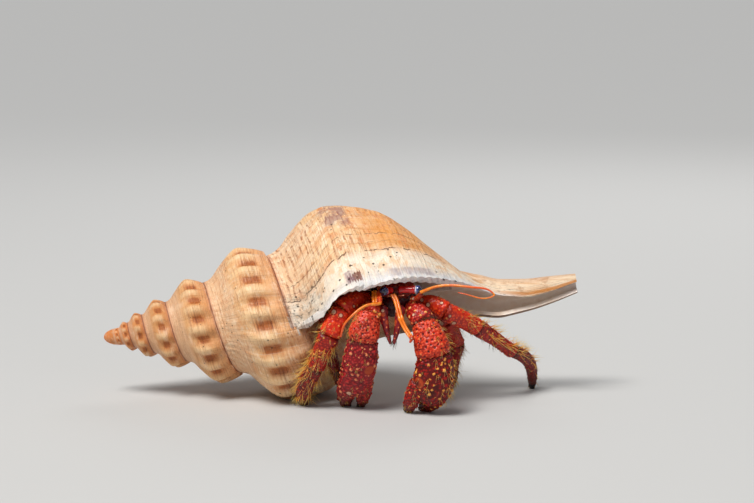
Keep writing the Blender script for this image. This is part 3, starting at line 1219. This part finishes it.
def finish_horn(name, clouds, parting, low, high, bands, gloss, relief):
    """Two clouded tones with bands of others along the piece, each from start to end."""
    look, tree, shader = new_finish(name)
    run = mark_of(tree, "run")
    cloud = cloudy(tree, clouds, 3, 0.6)
    colour = over(tree, step_up(tree, cloud, *parting), low, high)
    for start, end, shade in bands:
        colour = over(tree, step_up(tree, run, start, end), colour, shade)
    settle(tree, shader, {"Base Color": colour, **gloss}, cloud, *relief)
    return look


def finish_cornea():
    look, tree, shader = new_finish("cornea")
    run = mark_of(tree, "run")
    cells = put(tree, "TexVoronoi", {"Vector": place_of(tree), "Scale": 5200.0})
    cloud = cloudy(tree, 900.0, 2, 0.5)
    colour = over(tree, step_up(tree, cloud, 0.4, 0.65), tone(14, 14, 40), tone(38, 54, 112))
    colour = over(tree, step_up(tree, run, 0.36, 0.24), colour, tone(88, 104, 164))
    colour = over(tree, step_up(tree, run, 0.2, 0.14), colour, tone(240, 236, 240))
    settle(tree, shader, {"Base Color": colour, "Roughness": 0.12, "Coat Weight": 1.0,
                          "Coat Roughness": 0.03}, cells.outputs["Distance"], 0.08, 0.0001)
    return look


def plain_tube(name, grid, share, look, replaced=None):
    """A piece from one or more tubes, with its share along each for the finish."""
    grids, shares = (grid, share) if isinstance(grid, list) else ([grid], [share])
    points, faces, runs = [], [], []
    count = 0
    for one, its_share in zip(grids, shares):
        faces += [[n + count for n in face] for face in skin(one)]
        points.append(one.reshape(-1, 3))
        runs.append(np.repeat(its_share, one.shape[1]))
        count += one.shape[0] * one.shape[1]
    piece = make_piece(name, np.concatenate(points), faces)
    paint_value(piece, "run", np.concatenate(runs))
    return dress(piece, look, replaced)


STALK_LOOK = finish_horn("eyestalk_crust", 420.0, (0.35, 0.7), tone(172, 2, 4), tone(222, 12, 8),
                         [(0.10, 0.0, tone(84, 4, 6)), (0.955, 0.975, tone(226, 210, 218))],
                         {"Roughness": 0.25, "Coat Weight": 0.5, "Coat Roughness": 0.05},
                         (0.12, 0.0003))
CORNEA_LOOK = finish_cornea()
for side, (root, cornea) in EYES.items():
    root, cornea = np.array(root), np.array(cornea)
    way = unit(cornea - root)
    stalk_end = cornea - way * 0.5 * CORNEA
    wide = [(0, 2.2), (0.08, 2.8), (0.45, 2.65), (0.8, 2.9), (0.93, 3.2), (1, 3.0)]
    grid, share = tube([root, (root + stalk_end) / 2 + (0, 0, 0.12), stalk_end], wide, wide, 48, 60,
                       facing=(0, 0, 1), blunt=(0.8, 0.25))
    plain_tube("eyestalk_" + side + "_skin", grid, share, STALK_LOOK,
               "eyestalk_" + side)
    ball = [(0, 2.8), (0.15, 3.2), (0.4, 2 * CORNEA), (0.6, 3.3), (0.8, 2.7), (1, 1.4)]
    grid, share = tube([cornea - way * 0.62 * CORNEA, cornea, cornea + way * CORNEA], ball, ball, 48, 40,
                       facing=(0, 0, 1), blunt=(0.2, 1.6))
    plain_tube("cornea_" + side, grid, share, CORNEA_LOOK, "eye_" + side)

scale_grids, scale_shares = [], []
for stops in EYE_SCALES.values():
    wide = [(0, 1.7), (0.5, 1.5), (0.85, 0.9), (1, 0.4)]
    deep = [(0, 0.8), (1, 0.4)]
    grid, share = ellipse_tube(stops, wide, deep, 24, 24)
    scale_grids.append(grid)
    scale_shares.append(share)
SCALE_LOOK = finish_horn("eye_scale", 900.0, (0.38, 0.66), tone(150, 30, 20), tone(214, 128, 84),
                         [(0.6, 0.05, tone(96, 14, 14))], {"Roughness": 0.35, "Coat Weight": 0.3},
                         (0.3, 0.0003))
plain_tube("eye_scales", scale_grids, scale_shares, SCALE_LOOK)

# ==================================================================== the feelers
# Bright orange horn. The long antennae are whips of hundreds of short rings, on stout red
# bases with pale spots; each antennule is a jointed stem with two blades side by side.


def ringed(grid, share, rings, depth):
    """A whip's fine rings, as low ridges along a tube."""
    ridge = depth * np.abs(np.sin(math.pi * rings * share))
    return grid + outward(grid) * ridge[:, None, None]


def finish_feeler(name, low, high, tip):
    return finish_horn(name, 650.0, (0.36, 0.66), low, high, [(0.25, 1.0, tip)],
                       {"Roughness": 0.3, "Coat Weight": 0.4}, (0.2, 0.0002))


WHIP_LOOK = finish_feeler("antenna_horn", tone(226, 104, 20), tone(246, 150, 36), tone(232, 84, 20))
WHIPS = {
    "antenna_left": [(31.0, -37.1, 47.9), (31.6, -37.4, 48.2), (36.5, -39.5, 50.4),
                     (44.1, -41, 51.2), (51.6, -42, 50.6), (58, -42, 48.8), (58.4, -42.1, 48.4)],
    "antenna_left_tip": [(58, -42, 48.8), (58.9, -42.2, 47.9), (57.2, -43, 46.9),
                         (49.7, -43.6, 47.8), (45.1, -43.5, 48.9)],
    "antenna_right": [(15.6, -41.3, 44.5), (15.2, -41.9, 44.4), (11.9, -43.5, 44.3),
                      (5.3, -46, 40.7), (2, -45.8, 36.8), (0.7, -44.5, 32)],
}
for name, stops in WHIPS.items():
    tip = name.endswith("tip")
    wide = [(0, 0.62), (1, 0.34)] if tip else [(0, 1.3), (0.12, 1.12), (0.6, 0.94), (1, 0.62)]
    grid, share = tube(stops, wide, wide, 16, 300, blunt=(0.2, 0.4))
    grid = ringed(grid, share, 46, 0.04)
    plain_tube(name + "_whip", grid, share, WHIP_LOOK, name)

BASES = {
    "antenna_base_left": [(27.4, -32.6, 44.6), (30.0, -35.0, 45.6), (31.5, -37, 47.4)],
    "antenna_base_right": [(15, -34.6, 47.5), (15.3, -38.2, 46), (15.5, -41.4, 44.4)],
}
BASE_SPOTS = {"antenna_base_left": [(28.2, 45.2, 0.6)],
              "antenna_base_right": [(13.6, 45.2, 0.7), (15.2, 43.8, 0.6)]}
BASE_TONES = crust_tones((206, 54, 16), (130, 16, 8), (234, 106, 34), (244, 190, 120), 0.3)
BASE_LOOK = finish_crust("crust_feeler_base", BASE_TONES, coat=0.5)
for name, stops in BASES.items():
    wide = [(0, 2.2), (0.25, 2.4), (0.45, 1.8), (0.6, 2), (0.9, 1.6), (1, 1.4)]
    grid, share = tube(stops, wide, wide, 40, 60)
    piece = crust(name + "_shell", grid, share, 83, [(1.1, 0.4, 0.1, 1)], spots=BASE_SPOTS[name],
                  dark=0.6 if name.endswith("left") else 0.0, fine=0.02)
    dress(piece, BASE_LOOK, name)

STEMS = {
    "antennule_left": [(20.3, -35.5, 47), (20.8, -36, 46.3), (23.5, -41, 38.4),
                       (24.9, -42.6, 35.4), (27.3, -44.9, 32)],
    "antennule_right": [(13.4, -34.4, 48), (13.4, -37.6, 46), (13.7, -39.8, 44.2)],
}
STEM_LOOK = finish_feeler("antennule_horn", tone(222, 92, 14), tone(248, 144, 30), tone(244, 130, 24))
for name, stops in STEMS.items():
    long_one = name.endswith("left")
    grids, shares = [], []
    for off in (-0.5, 0.5):
        path = [(x + off, y, z + 0.2 * off) for x, y, z in stops]
        wide = [(0, 0.95), (0.1, 1.1), (0.5, 0.95), (0.56, 1.3), (0.62, 0.95), (0.93, 0.9), (1, 0.8)]
        grid, share = tube(path, wide, wide, 24, 120)
        grids.append(ringed(grid, share, 30 if long_one else 12, 0.03))
        shares.append(share)
    plain_tube(name + "_blades", grids, shares, STEM_LOOK, name)

tip_grid, tip_share = tube([(27.2, -44.5, 32.6), (27.5, -44.9, 31.5), (26.8, -44.9, 29.8)],
                           [(0, 1.3), (0.3, 1.9), (0.6, 1.3), (1, 0.6)],
                           [(0, 1.3), (0.3, 1.7), (0.6, 1.2), (1, 0.5)], 28, 40)
tip = crust("antennule_left_tip", tip_grid, tip_share, 91, [(0.9, 0.35, 0.08, 1)],
            spots=[(27.4, 31.7, 0.45)], fine=0.02)
dress(tip, BASE_LOOK)

# ==================================================================== the mouth limbs
# The third maxillipeds hang side by side over the mouth, dark and glossy, with a pale spot
# and orange streaks at their joints, and black hair at their tips.
MOUTH_LIMBS = {
    "maxilliped_left": ([(23.5, -34.4, 42.4), (23.2, -35.6, 40), (22.4, -37.2, 35), (20.9, -38, 28)],
                        [(21.9, 40.6, 0.8)],
                        [(21.9, 39.5, 1.0), (21.4, 36.4, 1.0)]),
    "maxilliped_right": ([(16.9, -34.4, 42.4), (16.9, -35.6, 40), (17.7, -37.2, 35), (19.6, -38, 28)],
                         [(16.7, 40.8, 0.8)],
                         [(16.7, 39.5, 1.0), (18.4, 36.4, 1.0)]),
}
MOUTH_TONES = crust_tones((128, 12, 22), (56, 4, 18), (184, 36, 28), (232, 120, 60), 0.3)
MOUTH_LOOK = finish_crust("crust_mouth_limb", MOUTH_TONES, coat=0.6)
for name, (stops, spots, streaks) in MOUTH_LIMBS.items():
    wide = [(0, 3.2), (0.16, 3.8), (0.28, 3.2), (0.36, 3.3), (0.56, 2.6), (0.85, 1.6), (1, 0.9)]
    grid, share = tube(stops, wide, wide, 56, 90)
    piece = crust(name + "_shell", grid, share, 95, [(1.6, 0.4, 0.08, 1)], spots=spots,
                  bare=streaks, fine=0.02, dark=0.0)
    dress(piece, MOUTH_LOOK, name)
    limb_skins[name] = (grid, share)

# ==================================================================== the small hind legs
# The fourth and fifth legs are short props with rasp-like pads, which grip the inside of
# the shell's mouth and keep the crab in it.
PROPS = {
    "leg4_left": ([(29, -16.4, 50), (33.4, -18, 50.4), (36.6, -20, 53)], 2.6),
    "leg4_right": ([(13.4, -16.4, 50), (9, -18, 50.6), (5.6, -20, 53.4)], 2.6),
    "leg5_left": ([(28.6, -10.6, 54.8), (29.8, -8, 56.2), (29.4, -5.4, 57.6)], 1.6),
    "leg5_right": ([(12.4, -12, 55.4), (9, -9, 58), (7, -6, 60.4)], 1.6),
}
for name, (stops, width) in PROPS.items():
    wide = [(0, width * 0.9), (0.3, width), (0.48, width * 0.75), (0.55, width), (0.85, width),
            (1, width * 0.7)]
    grid, share = tube(stops, wide, wide, 40, 70)
    piece = crust(name + "_shell", grid, share, 97, [(0.75, 0.4, 0.12, 1)], fine=0.02, dark=0.2)
    dress(piece, LEG_LOOKS["propodus"], name)

# ==================================================================== the bristles
# Stiff hollow hairs rooted between the warts, gold on the legs' upper sides and dark below,
# longest over the ends of the walking legs, short among the claws' tubercles.
BRISTLE_SIDES = 3
BRISTLE_RINGS = 5
BRISTLE_WIDTH = 0.19
IN_A_TUFT = 3
TUFT_SPREAD = 0.14
ROOT_DEPTH = 0.25
BRISTLE_BEND = 0.35
BRISTLE_TAPER = 0.82
PATCH = 0.003
BRISTLE_SEED = 200


def finish_bristle():
    look, tree, shader = new_finish("bristle")
    up = mark_of(tree, "up")
    gold = mark_of(tree, "gold")
    cloud = cloudy(tree, 1200.0, 2, 0.5)
    pale = tones(tree, up, [(0.0, tone(190, 60, 20)), (0.2, tone(240, 140, 40)),
                            (0.5, tone(255, 200, 76)), (1.0, tone(255, 238, 160))])
    dark = tones(tree, up, [(0.0, tone(60, 18, 14)), (1.0, tone(40, 26, 22))])
    colour = over(tree, gold, dark, pale)
    colour = over(tree, times(tree, step_up(tree, cloud, 0.5, 0.7), 0.3), colour,
                  tone(160, 84, 30))
    feed(tree, shader, {"Base Color": colour, "Roughness": 0.38})
    return look


BRISTLE_LOOK = finish_bristle()


def bristles(name, beds, seed):
    """One joined piece of bristles, from beds of (skin, count, length, lift, gold, side, span).

    Side is the direction in which a bed is densest, or None where it is the same all over.
    Span is the bed's start and end along the skin, and length is given at both, in mm.
    """
    chance = np.random.default_rng(seed)
    roots, outs, aheads, lengths, lifts, golds, places = [], [], [], [], [], [], []
    for k, (title, count, length, lift, gold, side, span) in enumerate(beds):
        grid, share = limb_skins[title]
        out = outward(grid)
        ahead = unit(np.gradient(grid, axis=0))
        weight = np.gradient(share)[:, None] * np.linalg.norm(
            np.roll(grid, -1, axis=1) - grid, axis=-1)
        weight = weight * ((share >= span[0]) & (share <= span[1]))[:, None]
        if side is not None:
            weight = weight * np.clip(0.15 + out @ unit(np.array(side, float)), 0, 1) ** 1.2
        flat = weight.ravel() / weight.sum()
        picked = np.repeat(chance.choice(len(flat), count // IN_A_TUFT, p=flat), IN_A_TUFT)
        count = len(picked)
        ring, spot = picked // grid.shape[1], picked % grid.shape[1]
        roots.append(grid[ring, spot])
        outs.append(out[ring, spot])
        aheads.append(ahead[ring, spot])
        grown = np.interp(share[ring], span, length)
        lengths.append(grown * chance.uniform(0.55, 1.25, count))
        lifts.append(chance.normal(lift, 0.12, count))
        golds.append(np.clip(chance.normal(gold, 0.15, count), 0, 1))
        column = (k + 0.1 + 0.8 * spot / grid.shape[1]) / len(beds)
        places.append(np.stack([column, 0.05 + 0.9 * share[ring]], axis=-1))
    root, out, ahead, place_on_skin = (np.concatenate(v) for v in (roots, outs, aheads, places))
    length, lift, gold = (np.concatenate(v) for v in (lengths, lifts, golds))
    count = len(root)
    shake = chance.normal(0, 0.22, (count, 3))
    start = unit(out * lift[:, None] + ahead * (1 - lift[:, None]) + shake)
    bend = unit(ahead + 0.5 * shake) * BRISTLE_BEND
    up = np.linspace(0, 1, BRISTLE_RINGS)
    root = root + chance.normal(0, TUFT_SPREAD, (count, 3))
    line = (root[:, None] - ROOT_DEPTH * out[:, None]
            + length[:, None, None] * (start[:, None] * up[None, :, None]
                                       + bend[:, None] * (up ** 2)[None, :, None]))
    across = unit(np.cross(start, bend + 0.01))
    beside = unit(np.cross(start, across))
    turn = 2 * math.pi * np.arange(BRISTLE_SIDES) / BRISTLE_SIDES
    half = BRISTLE_WIDTH / 2 * (1 - BRISTLE_TAPER * up)
    spokes = (across[:, None] * np.cos(turn)[None, :, None]
              + beside[:, None] * np.sin(turn)[None, :, None])
    rings = line[:, :, None] + spokes[:, None] * half[None, :, None, None]
    rings[..., 2] = np.maximum(rings[..., 2], 0.05)
    each = BRISTLE_RINGS * BRISTLE_SIDES
    one = np.arange(each).reshape(BRISTLE_RINGS, BRISTLE_SIDES)
    quads = np.stack([one[:-1], np.roll(one, -1, axis=1)[:-1], np.roll(one, -1, axis=1)[1:],
                      one[1:]], axis=-1).reshape(-1, 4)
    caps = np.array([one[0][::-1], one[-1]])
    shift = np.arange(count) * each
    faces = (quads[None] + shift[:, None, None]).reshape(-1, 4).tolist()
    faces += (caps[None] + shift[:, None, None]).reshape(-1, BRISTLE_SIDES).tolist()
    piece = make_piece(name, rings.reshape(-1, 3), faces)
    ups = np.tile(np.repeat(up, BRISTLE_SIDES), count)
    for label, values in (("up", ups), ("gold", np.repeat(gold, each))):
        paint_value(piece, label, values)
    sides = np.tile(np.arange(BRISTLE_SIDES), BRISTLE_RINGS * count) / BRISTLE_SIDES
    spread = np.stack([sides, ups], axis=-1) - 0.5
    spots = np.repeat(place_on_skin, each, axis=0) + PATCH * spread
    corner_point = np.zeros(len(piece.data.loops), int)
    piece.data.loops.foreach_get("vertex_index", corner_point)
    bake_map = piece.data.uv_layers.new(name="OFBake")
    bake_map.data.foreach_set("uv", spots[corner_point].astype(np.float32).ravel())
    return dress(piece, BRISTLE_LOOK)


UPPER = (0.35, -0.35, 0.85)
UNDER = (-0.3, 0, -1)
OUTER_LEFT = (0.9, -0.3, 0.2)
OUTER_RIGHT = (-0.9, -0.3, 0.2)
ALL = (0.02, 0.98)
BEDS = {
    "leg2_left": [
        ("merus", 30, (1.2, 2), 0.6, 0.6, None, ALL),
        ("carpus", 90, (1.6, 3.2), 0.55, 0.85, UPPER, (0.3, 1)),
        ("carpus", 14, (2, 3), 0.7, 0.1, UNDER, (0.3, 1)),
        ("propodus", 105, (4.4, 4.8), 0.68, 1.0, UPPER, ALL),
        ("propodus", 84, (1.4, 2.0), 0.35, 0.8, None, ALL),
        ("propodus", 20, (1.6, 2.4), 0.7, 0.1, UNDER, (0, 0.6)),
        ("dactyl", 105, (4.2, 3.0), 0.66, 0.98, UPPER, (0, 0.93)),
        ("dactyl", 135, (1.8, 1.8), 0.35, 0.5, None, (0, 0.97)),
    ],
    "leg2_right": [
        ("merus", 40, (1.2, 2), 0.6, 0.6, None, ALL),
        ("carpus", 100, (2.0, 3.2), 0.4, 0.85, None, (0.2, 1)),
        ("propodus", 210, (3.0, 4.2), 0.42, 1.0, None, ALL),
        ("dactyl", 270, (4.4, 4.0), 0.48, 1.0, None, (0, 0.95)),
    ],
    "leg3_left": [
        ("merus", 60, (1.6, 2.6), 0.5, 0.6, UPPER, ALL),
        ("carpus", 90, (2.2, 3), 0.45, 0.6, None, ALL),
        ("propodus", 200, (2.8, 3.2), 0.45, 0.55, None, ALL),
        ("dactyl", 180, (3, 2.2), 0.45, 0.5, None, (0, 0.93)),
    ],
    "leg3_right": [
        ("merus", 40, (1.6, 2.6), 0.5, 0.6, UPPER, ALL),
        ("carpus", 80, (2.2, 3), 0.45, 0.6, None, ALL),
        ("propodus", 200, (2.8, 3.2), 0.45, 0.55, None, ALL),
        ("dactyl", 180, (3, 2.2), 0.45, 0.5, None, (0, 0.93)),
    ],
    "claw_left": [
        ("merus", 270, (1.4, 1.6), 0.35, 0.0, None, (0.86, 1)),
        ("carpus", 150, (1.5, 1.6), 0.6, 0.0, None, (0.0, 0.07)),
        ("carpus", 60, (2.2, 3.4), 0.6, 0.9, OUTER_LEFT, (0.05, 1)),
        ("palm", 120, (2.6, 3.2), 0.6, 0.95, OUTER_LEFT, (0, 0.75)),
        ("palm", 210, (1.1, 1.4), 0.5, 0.6, None, ALL),
        ("finger", 180, (1.4, 1.6), 0.5, 0.6, None, (0, 0.95)),
    ],
    "claw_right": [
        ("merus", 60, (1.2, 1.8), 0.4, 0.3, None, (0.7, 1)),
        ("carpus", 120, (1.2, 2), 0.45, 0.7, OUTER_RIGHT, (0.05, 1)),
        ("palm", 220, (1.2, 1.5), 0.5, 0.7, None, ALL),
        ("finger", 90, (1.2, 1.3), 0.5, 0.6, None, (0, 0.95)),
    ],
    "mouth": [
        ("left", 60, (0.8, 2.2), 0.3, 0.02, None, (0.55, 1)),
        ("right", 60, (0.8, 2.2), 0.3, 0.02, None, (0.55, 1)),
    ],
}
for number, (limb, beds) in enumerate(BEDS.items()):
    stem = "maxilliped_" if limb == "mouth" else limb + "_"
    beds = [(stem + part, *bed) for part, *bed in beds]
    bristles("bristles_" + limb, beds, BRISTLE_SEED + number)

# ==================================================================== floor and light
# A wide pale floor under a soft overcast sky, with a warm round lamp high ahead, a cool
# wider one low to the crab's left and one behind.
FLOOR_REACH = 40
floor_mesh = bpy.data.meshes.new("floor")
floor_mesh.from_pydata([(x * FLOOR_REACH, y * FLOOR_REACH, 0) for x, y in
                        ((-1, -1), (1, -1), (1, 1), (-1, 1))], [], [(0, 1, 2, 3)])
floor = bpy.data.objects.new("floor", floor_mesh)
bpy.context.scene.collection.objects.link(floor)
floor_look, _, floor_shader = new_finish("floor")
floor_shader.inputs["Base Color"].default_value = (0.56, 0.555, 0.54, 1)
floor_shader.inputs["Roughness"].default_value = 0.9
floor_mesh.materials.append(floor_look)


def soft_lamp(name, at, aim, size, watts, colour=(1, 1, 1)):
    data = bpy.data.lights.new(name, "AREA")
    data.shape = "DISK"
    data.size = size
    data.energy = watts
    data.color = colour
    lamp = bpy.data.objects.new(name, data)
    lamp.location = at
    lamp.rotation_euler = (Vector(aim) - Vector(at)).to_track_quat("-Z", "Y").to_euler()
    bpy.context.scene.collection.objects.link(lamp)


MIDDLE = (0.0, 0.0, 0.04)
soft_lamp("key", (-0.35, -0.55, 0.95), MIDDLE, 0.25, 3.4, (1.0, 0.97, 0.92))
soft_lamp("fill", (0.7, -0.8, 0.4), MIDDLE, 0.4, 0.6, (0.94, 0.97, 1.0))
soft_lamp("back", (0.3, 0.8, 0.7), MIDDLE, 0.5, 1.6)
sky_light = bpy.data.lights.new("overcast", "SUN")
sky_light.energy = 2.6
sky_light.angle = math.radians(30)
sky = bpy.data.objects.new("overcast", sky_light)
sky.rotation_euler = (math.radians(25), math.radians(-20), 0)
bpy.context.scene.collection.objects.link(sky)
world = bpy.data.worlds.new("world")
world.use_nodes = True
world.node_tree.nodes["Background"].inputs["Color"].default_value = (0.93, 0.95, 1.0, 1)
world.node_tree.nodes["Background"].inputs["Strength"].default_value = 0.2
bpy.context.scene.world = world
bpy.context.scene.view_settings.view_transform = "Standard"
